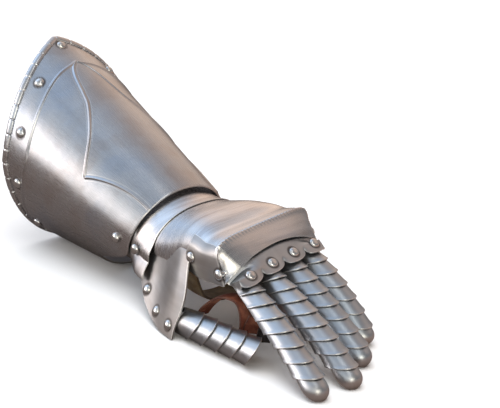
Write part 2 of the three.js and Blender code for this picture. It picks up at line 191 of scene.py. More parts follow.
floor_mesh = bpy.data.meshes.new("floor")
bm = bmesh.new()
bmesh.ops.create_grid(bm, x_segments=1, y_segments=1, size=4)
bm.to_mesh(floor_mesh)
bm.free()
floor = bpy.data.objects.new("floor", floor_mesh)
bpy.context.collection.objects.link(floor)

floor_material = bpy.data.materials.new("pale_floor")
floor_material.use_nodes = True
floor_mesh.materials.append(floor_material)
floor_tree = floor_material.node_tree
floor_shader = floor_tree.nodes["Principled BSDF"]
floor_shader.inputs["Base Color"].default_value = (0.92, 0.92, 0.92, 1)
floor_shader.inputs["Roughness"].default_value = 0.9
floor_shader.inputs["Specular IOR Level"].default_value = 0.1

floor_place = add_node(floor_tree, "ShaderNodeTexCoord").outputs["Object"]
floor_tones = add_node(floor_tree, "ShaderNodeValToRGB")
dark_end, warm_end = floor_tones.color_ramp.elements
dark_end.position = 0.0
dark_end.color = FLOOR_DARK
warm_end.position = FLOOR_WARM_FROM
warm_end.color = FLOOR_WARM
towards_front = along_direction(floor_tree, floor_place, (-0.7, -0.7, 0))
beyond_fingers = remap(floor_tree, towards_front, *FLOOR_CREAM_RANGE, 0, 1)
seen_in_steel = add_node(floor_tree, "ShaderNodeBsdfDiffuse")
mirrored_ray = add_node(floor_tree, "ShaderNodeLightPath").outputs["Is Glossy Ray"]
floor_mix = add_node(floor_tree, "ShaderNodeMixShader")
link_nodes(
    floor_tree,
    (along_direction(floor_tree, floor_place, (0.7, -0.7, 0)), floor_tones.inputs["Fac"]),
    (
        blend_colour(floor_tree, beyond_fingers, floor_tones.outputs["Color"], FLOOR_CREAM),
        seen_in_steel.inputs["Color"],
    ),
    (mirrored_ray, floor_mix.inputs[0]),
    (floor_shader.outputs["BSDF"], floor_mix.inputs[1]),
    (seen_in_steel.outputs["BSDF"], floor_mix.inputs[2]),
    (floor_mix.outputs["Shader"], floor_tree.nodes["Material Output"].inputs["Surface"]),
)
print("floor", tuple(floor.dimensions))

# %% [markdown]
# The sky is a dim grey room with soft patches of light in it. It is cool above the cuff, brown
# on the little-finger side and grey on the thumb side, with two small bright windows: one
# beside the rim of the cuff, and one in front, which the cut corner of the hand plate mirrors.

# %% Sky: direction, tightness and colour of each patch
ROOM_GREY = (0.20, 0.203, 0.212, 1)
PATCHES = (
    ((-0.14, 0.72, 0.69), 6.0, (0.72, 0.93, 1.24, 1)),
    ((0.66, 0.62, 0.36), 14.0, (0.85, 0.58, 0.40, 1)),
    ((0.66, -0.21, 0.72), 9.0, (0.42, 0.27, 0.19, 1)),
    ((-0.70, 0.66, 0.26), 34.0, (5.0, 4.5, 4.3, 1)),
    ((-0.93, 0.05, 0.36), 10.0, (0.62, 0.64, 0.64, 1)),
    ((-0.66, -0.52, 0.54), 26.0, (1.1, 1.1, 1.06, 1)),
    ((-0.48, -0.82, 0.31), 36.0, (4.0, 3.7, 3.05, 1)),
)

world = bpy.data.worlds.new("studio")
bpy.context.scene.world = world
world.use_nodes = True
sky = world.node_tree
sky.nodes.clear()
looking = add_node(sky, "ShaderNodeTexCoord").outputs["Generated"]
light = ROOM_GREY
for direction, tightness, colour in PATCHES:
    facing = along_direction(sky, looking, Vector(direction).normalized())
    patch = maths(sky, "POWER", maths(sky, "MAXIMUM", facing, 0.0), tightness)
    light = blend_colour(sky, patch, light, colour, "ADD")
shell = add_node(sky, "ShaderNodeBackground")
out = add_node(sky, "ShaderNodeOutputWorld")
link_nodes(sky, (light, shell.inputs["Color"]), (shell.outputs["Background"], out.inputs["Surface"]))
print("patches in the sky:", len(PATCHES))

# %% [markdown]
# A wide lamp overhead lights the floor and the leather. The steel doesn't mirror it, because so
# large a white shape would wash out the darks. A weak, narrow one gives the rivets a spark.


# %% Lamps
def soft_lamp(name, position, size, power, colour, in_steel=True):
    data = bpy.data.lights.new(name, "AREA")
    data.shape = "RECTANGLE"
    data.size, data.size_y = size
    data.energy = power
    data.color = colour
    lamp = bpy.data.objects.new(name, data)
    lamp.location = position
    lamp.rotation_euler = Vector(position).to_track_quat("Z", "Y").to_euler()
    lamp.visible_glossy = in_steel
    bpy.context.collection.objects.link(lamp)


soft_lamp("ceiling", (-0.2, -0.1, 2.4), (2.6, 2.6), 56, (1, 1, 1), in_steel=False)
soft_lamp("strip", (-0.5, -0.5, 2.0), (0.5, 1.6), 3, (1, 0.99, 0.97))

# %% [markdown]
# ## Steel
# The plates are mild steel, ground, brushed and waxed. Four things make it look like a worn
# thing and not like chrome: a fine grain that the brush leaves along the sheet, a faint cloudy
# tint of blue and brown from handling and heat, bright metal where edges rub, and a darker
# colour, which is painted shade where one sheet goes under another, under the cuff and low down,
# and grime with painted shade round the rivets. The effects live in one node group, so every
# sheet is finished in the same way, each with its own amounts.


# %% Helpers for node groups
def new_group(name, ins, outs):
    group = bpy.data.node_groups.new(name, "ShaderNodeTree")
    for label, kind, value in ins:
        socket = group.interface.new_socket(label, in_out="INPUT", socket_type=kind)
        socket.default_value = value
    for label, kind in outs:
        group.interface.new_socket(label, in_out="OUTPUT", socket_type=kind)
    return group, add_node(group, "NodeGroupInput").outputs, add_node(group, "NodeGroupOutput").inputs


def noise(tree, vector, scale, detail=4.0, roughness=0.55):
    node = add_node(tree, "ShaderNodeTexNoise")
    node.inputs["Scale"].default_value = scale
    node.inputs["Detail"].default_value = detail
    node.inputs["Roughness"].default_value = roughness
    tree.links.new(vector, node.inputs["Vector"])
    return node.outputs["Fac"]


def stretched(tree, vector, size):
    node = add_node(tree, "ShaderNodeMapping", vector_type="TEXTURE")
    node.inputs["Scale"].default_value = size
    tree.links.new(vector, node.inputs["Vector"])
    return node.outputs["Vector"]


def relief(tree, height, strength, distance):
    node = add_node(tree, "ShaderNodeBump")
    node.inputs["Strength"].default_value = strength
    node.inputs["Distance"].default_value = distance
    tree.links.new(height, node.inputs["Height"])
    return node


# %% The worn steel group: what it is given, and its patterns
LOOK_OUTPUTS = (
    ("Color", "NodeSocketColor"),
    ("Roughness", "NodeSocketFloat"),
    ("Normal", "NodeSocketVector"),
)
steel_group, given, steel_out = new_group(
    "worn steel",
    (
        ("Place", "NodeSocketVector", (0, 0, 0)),
        ("Sheet", "NodeSocketVector", (0, 0, 0)),
        ("Edge", "NodeSocketFloat", 10.0),
        ("Grime and shade", "NodeSocketFloat", 0.0),
        ("Metal", "NodeSocketColor", (0.6, 0.62, 0.65, 1)),
        ("Cool", "NodeSocketColor", (0.46, 0.55, 0.68, 1)),
        ("Warm", "NodeSocketColor", (0.50, 0.40, 0.34, 1)),
        ("Roughness", "NodeSocketFloat", 0.28),
        ("Streaks", "NodeSocketFloat", 0.12),
    ),
    LOOK_OUTPUTS,
)
STREAK_SIZE = (0.16, 0.012, 1)
GRAIN_SIZE = (0.012, 0.0004, 1)
cloud = noise(steel_group, given["Place"], 22, 3)
ripple = noise(steel_group, given["Place"], 55, 2, 0.4)
fine = noise(steel_group, given["Place"], 900, 2)
streak = noise(steel_group, stretched(steel_group, given["Sheet"], STREAK_SIZE), 1.0, 5, 0.6)
grain = noise(steel_group, stretched(steel_group, given["Sheet"], GRAIN_SIZE), 1.0, 3, 0.7)

# %% Its colour: cloudy tints, then strokes of the brush, then bright edges, then grime and painted shade
PALE_STROKE = (0.93, 0.93, 0.93, 1)
DARK_STROKE = (0.30, 0.25, 0.22, 1)
BARE_METAL = (0.92, 0.91, 0.89, 1)
GRIME_AND_SHADE = (0.11, 0.09, 0.08, 1)
cloud_and_streak = maths(steel_group, "ADD", cloud, maths(steel_group, "MULTIPLY", streak, 0.12))
cool_mask = remap(steel_group, cloud, 0.50, 0.68, 0, 0.45)
warm_mask = remap(steel_group, cloud_and_streak, 0.56, 0.44, 0, 0.28)
colour = blend_colour(steel_group, cool_mask, given["Metal"], given["Cool"])
colour = blend_colour(steel_group, warm_mask, colour, given["Warm"])
for stroke_range, stroke_colour in (((0.38, 0.66), PALE_STROKE), ((0.48, 0.30), DARK_STROKE)):
    in_range = remap(steel_group, streak, *stroke_range, 0, 1)
    stroke = maths(steel_group, "MULTIPLY", in_range, given["Streaks"])
    colour = blend_colour(steel_group, stroke, colour, stroke_colour)
ragged_edge = maths(steel_group, "ADD", given["Edge"], maths(steel_group, "MULTIPLY", fine, 0.8))
rubbed = maths(steel_group, "MULTIPLY", remap(steel_group, ragged_edge, 0.5, 1.2, 1, 0), 0.8)
colour = blend_colour(steel_group, rubbed, colour, BARE_METAL)
# Here the colour darkens: painted shade under laps, under the cuff's edge and low down, and grime with
# painted shade round the rivets.
patchy_grime_and_shade = maths(steel_group, "MULTIPLY", given["Grime and shade"], maths(steel_group, "ADD", cloud, 0.55))
grime_and_shade_amount = remap(steel_group, patchy_grime_and_shade, 0.15, 1.0, 0, 0.85)
colour = blend_colour(steel_group, grime_and_shade_amount, colour, GRIME_AND_SHADE)

# %% Its roughness and its relief: grain, and under it the slow waves of hammer work
grain_rough = remap(steel_group, grain, 0.3, 0.7, -0.05, 0.07)
rough = maths(steel_group, "ADD", given["Roughness"], grain_rough)
rough = maths(steel_group, "ADD", rough, maths(steel_group, "MULTIPLY", grime_and_shade_amount, 0.22))
grain_relief = relief(steel_group, grain, 0.05, 0.00012)
waves = relief(steel_group, ripple, 0.35, 0.0009)
link_nodes(
    steel_group,
    (grain_relief.outputs["Normal"], waves.inputs["Normal"]),
    (colour, steel_out["Color"]),
    (rough, steel_out["Roughness"]),
    (waves.outputs["Normal"], steel_out["Normal"]),
)
print("worn steel:", len(steel_group.nodes), "nodes")


# %% A material that wears a group
def dressed(name, group, amounts):
    """Make a material whose colour, roughness and normal come from a node group."""
    material = bpy.data.materials.new(name)
    material.use_nodes = True
    tree = material.node_tree
    shader = tree.nodes["Principled BSDF"]
    effects = add_node(tree, "ShaderNodeGroup")
    effects.node_tree = group
    for label, amount in amounts.items():
        effects.inputs[label].default_value = amount
    where = add_node(tree, "ShaderNodeTexCoord")
    border = add_node(tree, "ShaderNodeAttribute", attribute_name="edge")
    link_nodes(
        tree,
        (where.outputs["Object"], effects.inputs["Place"]),
        (border.outputs["Fac"], effects.inputs["Edge"]),
        (effects.outputs["Color"], shader.inputs["Base Color"]),
        (effects.outputs["Roughness"], shader.inputs["Roughness"]),
        (effects.outputs["Normal"], shader.inputs["Normal"]),
    )
    return material, effects, shader


# %% Steels: roughness, metal, cool tint, warm tint, strength of the brush strokes
PLATE_TINTS = ((0.46, 0.55, 0.68, 1), (0.50, 0.40, 0.34, 1))
STEELS = {
    "waxed plate": (0.25, (0.62, 0.63, 0.65, 1), *PLATE_TINTS, 0.12),
    "brushed plate": (0.25, (0.62, 0.625, 0.64, 1), *PLATE_TINTS, 0.55),
    # The satin plate is rougher than the waxed plate, and its darker colour is painted shade on the thumb
    # wall and the cheek.
    "shaded satin plate": (0.40, (0.46, 0.45, 0.44, 1), (0.36, 0.40, 0.45, 1), (0.38, 0.32, 0.27, 1), 0.2),
    "polished lame": (0.36, (0.54, 0.57, 0.60, 1), (0.42, 0.51, 0.60, 1), (0.48, 0.41, 0.36, 1), 0.12),
    # The inside steel is much darker and rougher than the outside.
    "dark inside": (0.48, (0.20, 0.19, 0.19, 1), (0.16, 0.17, 0.19, 1), (0.15, 0.12, 0.10, 1), 0.12),
    "bright rivet": (0.20, (0.78, 0.78, 0.77, 1), (0.72, 0.74, 0.77, 1), (0.66, 0.61, 0.56, 1), 0.12),
}


def steel_material(name):
    amounts = dict(zip(("Roughness", "Metal", "Cool", "Warm", "Streaks"), STEELS[name]))
    material, effects, shader = dressed(name, steel_group, amounts)
    shader.inputs["Metallic"].default_value = 1.0
    tree = material.node_tree
    sheet_map = add_node(tree, "ShaderNodeUVMap", uv_map="sheet")
    grime_and_shade = add_node(tree, "ShaderNodeAttribute", attribute_name="grime_and_shade")
    link_nodes(
        tree,
        (sheet_map.outputs["UV"], effects.inputs["Sheet"]),
        (grime_and_shade.outputs["Fac"], effects.inputs["Grime and shade"]),
    )
    return material


plate_steel, brushed_steel, shaded_wall_steel, lame_steel, dark_inside_steel, rivet_steel = map(steel_material, STEELS)
print("steels:", list(STEELS))

# %% [markdown]
# ## Leather
# The straps are vegetable-tanned leather, stained red-brown, tan or black. Leather has a
# pebbled grain with fine creases, and it goes darker along its burnished edges.

# %% The leather group
EDGE_STAIN = (0.03, 0.015, 0.01, 1)
leather_group, hide, hide_out = new_group(
    "leather",
    (
        ("Place", "NodeSocketVector", (0, 0, 0)),
        ("Edge", "NodeSocketFloat", 10.0),
        ("Stain", "NodeSocketColor", (0.12, 0.04, 0.02, 1)),
        ("Worn", "NodeSocketColor", (0.26, 0.11, 0.06, 1)),
    ),
    LOOK_OUTPUTS,
)
pebble = add_node(leather_group, "ShaderNodeTexVoronoi", feature="DISTANCE_TO_EDGE")
pebble.inputs["Scale"].default_value = 900
leather_group.links.new(hide["Place"], pebble.inputs["Vector"])
grain_height = remap(leather_group, pebble.outputs["Distance"], 0.0, 0.12, 0, 1)
patches = noise(leather_group, hide["Place"], 90, 4)
rubbed_patches = remap(leather_group, patches, 0.42, 0.66, 0, 1)
stained = blend_colour(leather_group, rubbed_patches, hide["Stain"], hide["Worn"])
near_edge = remap(leather_group, hide["Edge"], 0.0, 1.4, 0.7, 0)
link_nodes(
    leather_group,
    (blend_colour(leather_group, near_edge, stained, EDGE_STAIN), hide_out["Color"]),
    (remap(leather_group, patches, 0.3, 0.7, 0.62, 0.42), hide_out["Roughness"]),
    (relief(leather_group, grain_height, 0.5, 0.00015).outputs["Normal"], hide_out["Normal"]),
)


# %% Leathers: the stain, and the paler colour where it has worn
def leather_material(name, stain, worn_colour):
    material, _, shader = dressed(name, leather_group, {"Stain": stain, "Worn": worn_colour})
    shader.inputs["Specular IOR Level"].default_value = 0.45
    return material


brown_leather = leather_material("red brown hide", (0.20, 0.058, 0.034, 1), (0.42, 0.16, 0.095, 1))
tan_leather = leather_material("tan hide", (0.26, 0.17, 0.09, 1), (0.40, 0.29, 0.17, 1))
black_leather = leather_material("black hide", (0.012, 0.010, 0.010, 1), (0.035, 0.03, 0.028, 1))
print("leathers:", [m.name for m in (brown_leather, tan_leather, black_leather)])

# %% [markdown]
# ## How a sheet is laid
# A flat grid is the blank. Each of its points goes to a place on a curved surface, written as a
# formula of two numbers: u runs along the sheet and v across it. The helper also writes two
# things on every point that the finish needs: how far it is from the nearest cut edge, and how
# much painted shade and grime darken it. A sheet that closes on itself is welded along its seam.

# %% Lay a grid onto a surface
EDGE_FAR = 60.0
WELD_GAP = 2e-6


def even(value):
    return value


def lay(surface, rows, columns, closed=False, u_of=even, v_of=even, grime_and_shade_of=None, brushed_across=False):
    bm = bmesh.new()
    bmesh.ops.create_grid(bm, x_segments=rows, y_segments=columns, size=0.5)
    edge = bm.verts.layers.float.new("edge")
    grime_and_shade = bm.verts.layers.float.new("grime_and_shade")
    uv = bm.loops.layers.uv.new("sheet")
    points = np.zeros((rows + 1, columns + 1, 3))
    cell = {}
    for vert in bm.verts:
        i = round((vert.co.x + 0.5) * rows)
        j = round((vert.co.y + 0.5) * columns)
        cell[vert] = (i, j)
        points[i, j] = surface(u_of(i / rows), v_of(j / columns))
    along = np.zeros((rows + 1, columns + 1))
    along[1:] = np.linalg.norm(np.diff(points, axis=0), axis=2).cumsum(axis=0)
    across = np.zeros((rows + 1, columns + 1))
    across[:, 1:] = np.linalg.norm(np.diff(points, axis=1), axis=2).cumsum(axis=1)
    border = np.minimum(along, along[-1:] - along)
    if not closed:
        border = np.minimum(border, np.minimum(across, across[:, -1:] - across))
    grime_and_shade_amount = grime_and_shade_of(points) if grime_and_shade_of else np.zeros(border.shape)
    width = across.mean(axis=0)
    for face in bm.faces:
        for loop in face.loops:
            i, j = cell[loop.vert]
            run = (along[i, j] * MM, width[j] * MM)
            loop[uv].uv = run[::-1] if brushed_across else run
    for vert, (i, j) in cell.items():
        vert.co = placed(points[i, j])
        vert[edge] = min(border[i, j], EDGE_FAR)
        vert[grime_and_shade] = grime_and_shade_amount[i, j]
    if closed:
        bmesh.ops.remove_doubles(bm, verts=bm.verts, dist=WELD_GAP)
    return bm


def object_of(name, bm, materials):
    mesh = bpy.data.meshes.new(name)
    for face in bm.faces:
        face.smooth = True
    bm.to_mesh(mesh)
    bm.free()
    for material in materials:
        mesh.materials.append(material)
    made = bpy.data.objects.new(name, mesh)
    bpy.context.collection.objects.link(made)
    return made


# %% [markdown]
# A blank becomes sheet metal when it gets its gauge. Solidify grows it inwards only, so the
# outer face stays where it was drawn, and gives the inside a much darker, rougher steel. Then a
# small bevel breaks the sharp edges, as a file does.


# %% Give a sheet its gauge
SHARP = math.radians(50)


def fitted(made, body, nodes=()):
    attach(made, body)
    if nodes:
        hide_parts(*nodes)
    return made


def thicken(made, thickness):
    solid = made.modifiers.new("thickness", "SOLIDIFY")
    solid.thickness = thickness * MM
    solid.offset = -1
    return solid


def round_edges(made, width, segments):
    rounding = made.modifiers.new("rounded edges", "BEVEL")
    rounding.width = width * MM
    rounding.segments = segments
    rounding.limit_method = "ANGLE"
    rounding.angle_limit = SHARP


# %% The whole recipe for a sheet
def sheet_metal(name, bm, gauge, finish, body, nodes=(), inner=dark_inside_steel, round_off=0.3):
    made = object_of(name, bm, (finish, inner))
    solid = thicken(made, gauge)
    solid.use_even_offset = False
    solid.material_offset = 1
    solid.material_offset_rim = 0
    round_edges(made, round_off, 2)
    return fitted(made, body, nodes)


def grime_and_shade_round(seats, room, strength=0.9, spread=1.3):
    """Darken a sheet in a soft ring round each rivet: grime, with painted shade where the head meets the
    sheet.
    """
    centres = np.array([tuple(point) for point, _ in seats])
    reach = RIVET_RADIUS + room

    def grime_and_shade_of(points):
        gap = np.linalg.norm(points[:, :, None, :] - centres, axis=3) - reach
        return (strength * np.exp(-((gap / spread) ** 2))).max(axis=2)

    return grime_and_shade_of


def normal_at(surface, u, v):
    step = 1e-3
    du = Vector(surface(u + step, v)) - Vector(surface(u - step, v))
    dv = Vector(surface(u, v + step)) - Vector(surface(u, v - step))
    return du.cross(dv).normalized()


# %% [markdown]
# ## Rivets
# Each rivet is a short steel pin. Its head was struck with a cupped punch, so it is a smooth
# dome, and its polished top catches the light. A half profile spun once round its own axis
# makes the dome and its flat foot in one closed body.

# %% Spin a rivet head
RIVET_RADIUS = 3.8
RIVET_HEIGHT = 2.3
RIVET_SUNK = 0.5
DOME_ANGLES = (6, 20, 34, 48, 62, 76)
DOME_RIM = 0.1


def spin_profile(bm, point, normal, profile, steps=32):
    axis = Vector(normal).normalized()
    out_dir = axis.orthogonal().normalized()
    ring = [bm.verts.new(placed(Vector(point) + out_dir * r + axis * h)) for r, h in profile]
    lines = [bm.edges.new(pair) for pair in zip(ring, ring[1:])]
    bmesh.ops.spin(
        bm,
        geom=ring + lines,
        cent=placed(point),
        axis=axis,
        angle=math.tau,
        steps=steps,
        use_merge=True,
        use_duplicate=False,
    )


def dome(radius, height, foot):
    arc = [math.radians(a) for a in DOME_ANGLES]
    profile = [(0, -foot), (radius * 0.97, -foot), (radius, DOME_RIM)]
    profile += [(radius * math.cos(a), DOME_RIM + (height - DOME_RIM) * math.sin(a)) for a in arc]
    return profile + [(0, height)]


def close_rivets(name, bm, body, nodes=()):
    bmesh.ops.remove_doubles(bm, verts=bm.verts, dist=WELD_GAP)
    bmesh.ops.recalc_face_normals(bm, faces=bm.faces)
    bm.loops.layers.uv.new("sheet")
    edge = bm.verts.layers.float.new("edge")
    for vert in bm.verts:
        vert[edge] = EDGE_FAR
    fitted(object_of(name, bm, (rivet_steel,)), body, nodes)
    print("rivets:", name)


def rivets(name, seats, body):
    bm = bmesh.new()
    for point, normal in seats:
        spin_profile(bm, point, normal, dome(RIVET_RADIUS, RIVET_HEIGHT, RIVET_SUNK))
    close_rivets(name, bm, body)


# %% [markdown]
# ## The cuff
# One sheet is bent into a cone and welded under the arm. It is round at the wrist and tall at
# the rim, and the rim comes to a point over the forearm. The cone's axis rises towards the rim.
# At the wrist the edge is proud on top and cut back underneath, so that the hand can bend down.

# %% The cone
TILT = math.radians(12)
CONE = {"length": 150, "wrist": (44, 41), "rim": (60.5, 71.5), "underside": 0.8, "bulge": 1.2}
UNDERSIDE_RISE = 2.1 / 114.5
STEEL = 1.4
wrist_centre = CONE["underside"] + CONE["wrist"][1] * math.cos(TILT)
centre_shift = CONE["rim"][1] - CONE["wrist"][1] - CONE["length"] * (math.tan(TILT) - UNDERSIDE_RISE)


def cone_point(angle, t):
    k = t / CONE["length"]
    bulge = CONE["bulge"] * math.sin(math.pi * clamp(k))
    half_width = lerp(CONE["wrist"][0], CONE["rim"][0], k) + bulge
    lift = centre_shift * k + lerp(CONE["wrist"][1], CONE["rim"][1], k) * math.cos(angle)
    return Vector(
        (
            half_width * math.sin(angle),
            t * math.cos(TILT) - lift * math.sin(TILT),
            wrist_centre + t * math.sin(TILT) + lift * math.cos(TILT),
        )
    )


def cone_normal(angle, t):
    return normal_at(cone_point, angle, t)


# %% Its two edges, as distances along the cone
RIM = {"side": 136, "point": 36, "under": 21.5}
WRIST_EDGE = {"proud": 3.7, "cut": 38, "cut_from": math.radians(100), "cut_to": math.radians(140)}


def from_top(angle):
    return abs(math.atan2(math.sin(angle), math.cos(angle)))


def rim_length(angle):
    a = from_top(angle)
    peak = max(0, 1 - a / (math.pi / 2)) ** 1.5
    return RIM["side"] + RIM["point"] * peak - RIM["under"] * max(0, -math.cos(a))


def wrist_start(angle):
    a = from_top(angle)
    proud = -WRIST_EDGE["proud"] * math.cos(a) if a < math.pi / 2 else 0
    return proud + WRIST_EDGE["cut"] * smooth(a, WRIST_EDGE["cut_from"], WRIST_EDGE["cut_to"])


print("cuff length in mm: top", rim_length(0) - wrist_start(0), "side", rim_length(math.pi / 2))

# %% [markdown]
# Two low ridges decorate the cuff. They are raised from the inside with a blunt chisel over a
# groove. One runs parallel to the rim. The other draws a pointed leaf that ends in a cusp on
# each side and runs back to the wrist. Each ridge is a narrow band laid on the cone along its
# line: the band swells in the middle and fades into the cuff at both sides, so it keeps the
# crisp crown that the chisel leaves.

# %% Ridge lines: degrees from the top, then distance along the cone
RIDGE = {"height": 0.85, "width": 0.85, "band": 2.6, "foot": 0.03}
LEAF_TIP = ((0, 142), (5.2, 137), (10, 127.5), (15, 110))
LEAF_SIDE = ((19, 98.5), (28.5, 84), (38.5, 73), (51.5, 63.5), (62.5, 57))
LEAF_BACK = ((62.5, 57), (57.5, 48.5), (51.5, 34), (47.5, 18.5), (46.8, 5.5), (47.4, -2.6))
RIM_RIDGE = {"reach": 140, "inset": (24.5, 6), "closes": (78, 140), "dip": 5.5, "dip_width": 15}


def curve_through(points, steps=14):
    knots = [np.array(p, float) for p in (points[0], *points, points[-1])]
    line = []
    for p0, p1, p2, p3 in zip(knots, knots[1:], knots[2:], knots[3:]):
        for k in np.linspace(0, 1, steps, endpoint=False):
            cubic = (2 * p0 - 5 * p1 + 4 * p2 - p3) * k**2 + (3 * p1 - p0 - 3 * p2 + p3) * k**3
            line.append(0.5 * (2 * p1 + (p2 - p0) * k + cubic))
    line.append(knots[-1])
    return line


# %% The ridge beside the rim, and the band that every ridge is made of
def rim_ridge():
    line = []
    for a in np.linspace(-RIM_RIDGE["reach"], RIM_RIDGE["reach"], 260):
        inset = lerp(*RIM_RIDGE["inset"], smooth(abs(a), *RIM_RIDGE["closes"]))
        dip = RIM_RIDGE["dip"] * math.exp(-((a / RIM_RIDGE["dip_width"]) ** 2))
        line.append((a, rim_length(math.radians(a)) - (inset + dip)))
    return line


def ridge_band(line, side):
    last = len(line) - 1

    def surface(u, v):
        i = round(clamp(u) * last)
        angle, t = math.radians(side * line[i][0]), line[i][1]
        (near_angle, near_t), (far_angle, far_t) = line[max(0, i - 1)], line[min(last, i + 1)]
        near = cone_point(math.radians(side * near_angle), near_t)
        ahead = cone_point(math.radians(side * far_angle), far_t) - near
        outward = cone_normal(angle, t)
        across = outward.cross(ahead).normalized()
        s = (2 * v - 1) * RIDGE["band"]
        full_height = min(1, 3.2 * min(u, 1 - u) * last / 14 + 0.3)
        rise = RIDGE["height"] * math.exp(-((s / RIDGE["width"]) ** 2)) * full_height - RIDGE["foot"]
        return cone_point(angle, t) + across * s + outward * rise

    return surface, last


ridges = {
    "rim": [(rim_ridge(), 1)],
    "leaf": [(curve_through(LEAF_TIP + LEAF_SIDE), side) for side in (-1, 1)],
    "cusp": [(curve_through(LEAF_BACK), side) for side in (-1, 1)],
}


def gap_to_line(points, line):
    """Measure how far each point is from a bent line."""
    nearest = np.full(points.shape[:-1], 1e9)
    for a, b in zip(line, line[1:]):
        span = b - a
        if span @ span < 1e-9:
            continue
        k = np.clip(((points - a) @ span) / (span @ span), 0, 1)
        nearest = np.minimum(nearest, np.linalg.norm(points - a - k[..., None] * span, axis=-1))
    return nearest


# %% [markdown]
# The blank for the cuff has closer points on top, where the leaf is, and wider ones underneath.
# Nine rivets follow the rim, each with a darker ring round its head, for old polish and dirt and for painted
# shade.


# %% Lay the cuff
def seam_angle(v):
    s = 2 * v - 1
    return math.pi * (0.70 * s + 0.30 * s**5)


def cuff_surface(u, angle):
    t = lerp(wrist_start(angle), rim_length(angle), u)
    return cone_point(angle, t)


# %% Rim rivets, and the grime and painted shade round them
RIM_RIVETS = {"step": math.radians(33.6), "inset": 13.5, "inset_at_point": 10}
cuff_seats = []
for i in range(-4, 5):
    angle = i * RIM_RIVETS["step"]
    t = rim_length(angle) - RIM_RIVETS["inset" if i else "inset_at_point"]
    cuff_seats.append((cone_point(angle, t), cone_normal(angle, t)))

rim_rivet_grime_and_shade = grime_and_shade_round(cuff_seats, 0.4)


# Grime and painted shade round the rim rivets, and painted shade that darkens the cuff towards its bottom.
def cuff_grime_and_shade(points):
    low = np.clip((26 - points[..., 2]) / 22, 0, 1)
    return np.maximum(rim_rivet_grime_and_shade(points), 0.55 * low)


cuff_bm = lay(cuff_surface, 96, 220, closed=True, v_of=seam_angle, grime_and_shade_of=cuff_grime_and_shade)
bmesh.ops.reverse_faces(cuff_bm, faces=cuff_bm.faces)
cuff_ob = sheet_metal("cuff_sheet", cuff_bm, STEEL, plate_steel, "cuff", ("cuff",))
for label, lines in ridges.items():
    for line, side in lines:
        surface, last = ridge_band(line, side)
        band = lay(surface, last, 14)
        name = f"cuff_ridge_{label}_{'thumb' if side < 0 else 'little'}"
        fitted(object_of(name, band, (plate_steel,)), "cuff")
print("cuff faces:", len(cuff_ob.data.polygons), "ridges:", {k: len(v) for k, v in ridges.items()})

# %% [markdown]
# The rim is rolled outwards over a wire, so that it is stiff and no raw edge cuts the arm. File
# cuts cross the roll about every 12 mm. The roll is a tube laid round the rim: its section is a flat
# oval, and it narrows sharply at each cut.

# %% Rolled rim
ROLL = {"along": 2.7, "out": 1.25, "stand": 0.45, "back": 1.6, "rubbed": 0.55}
NOTCH = {"pitch": 11.5, "depth": 0.30, "share": 0.045}
ROLL_COUNT = 1100
rim_line = []
for v in np.linspace(0, 1, ROLL_COUNT, endpoint=False):
    angle = math.pi * (2 * v - 1)
    t = rim_length(angle)
    rim_line.append((cone_point(angle, t - ROLL["back"]), cone_normal(angle, t)))
rim_run = [0.0]
for (a, _), (b, _) in zip(rim_line, rim_line[1:] + rim_line[:1]):
    rim_run.append(rim_run[-1] + (b - a).length)
notches = round(rim_run[-1] / NOTCH["pitch"])
print("rim is", round(rim_run[-1]), "mm round, with", notches, "file cuts")


def roll_surface(u, v):
    i = round(v * ROLL_COUNT)
    point, outward = rim_line[i % ROLL_COUNT]
    ahead, _ = rim_line[(i + 1) % ROLL_COUNT]
    behind, _ = rim_line[(i - 1) % ROLL_COUNT]
    inward = (ahead - behind).normalized().cross(outward)
    phase = (rim_run[i % ROLL_COUNT] / rim_run[-1] * notches) % 1.0
    cut = math.exp(-(((phase - 0.5) / NOTCH["share"]) ** 2))
    turn_by = math.tau * u - math.pi / 2
    size = 1 - NOTCH["depth"] * cut
    out_by = ROLL["stand"] + ROLL["out"] * size * math.sin(turn_by)
    return point + outward * out_by + inward * (ROLL["along"] * size * math.cos(turn_by))


roll_bm = lay(roll_surface, 14, ROLL_COUNT, closed=True)
bmesh.ops.recalc_face_normals(roll_bm, faces=roll_bm.faces)
edge_layer = roll_bm.verts.layers.float["edge"]
for vert in roll_bm.verts:
    vert[edge_layer] = ROLL["rubbed"]
fitted(object_of("cuff_rolled_rim", roll_bm, (plate_steel,)), "cuff")
rivets("cuff_rim_rivets", cuff_seats, "cuff")

# %% [markdown]
# ## The wrist lame
# A wide hoop goes under the cuff's wrist edge and over the back of the hand plate. A rivet on
# each side joins it to the cuff, and another on each side to the hand plate, so the wrist bends.

# %% Wrist lame
HOOP_ARC = (-115, 115)
THUMB_END_FLARE = 33
LITTLE_END_FLARE = 3


def wrist_arch(u, v):
    angle = math.radians(lerp(*HOOP_ARC, v))
    side = abs(math.sin(angle))
    low = max(0, -math.cos(angle) - 0.1) * smooth(u, 0.28, 0.75)
    clear = smooth(u, 0.5, 1)
    end_flare = THUMB_END_FLARE if angle < 0 else LITTLE_END_FLARE
    half_width = lerp(41.6, 45, clear) + end_flare * low
    crown = lerp(75.4, 76.2, u)
    centre = lerp(42, 40.5, u)
    x = half_width * math.sin(angle)
    y = lerp(lerp(3, 21, side**2), lerp(-30, -24, side**2), u)
    return Vector((x, y, centre + (crown - centre) * math.cos(angle) + 0.034 * clear * x))


# %% [markdown]
# ## The hand plate
# The back of the hand is round at the wrist and becomes flat on top and square at the knuckles,
# where the sheet folds down sharply in front. A low valley before that fold makes it look
# taller. A stretched circle, whose corners sharpen towards the knuckles, draws every section.
# The whole plate leans: it is higher on the little-finger side, and set back there too.

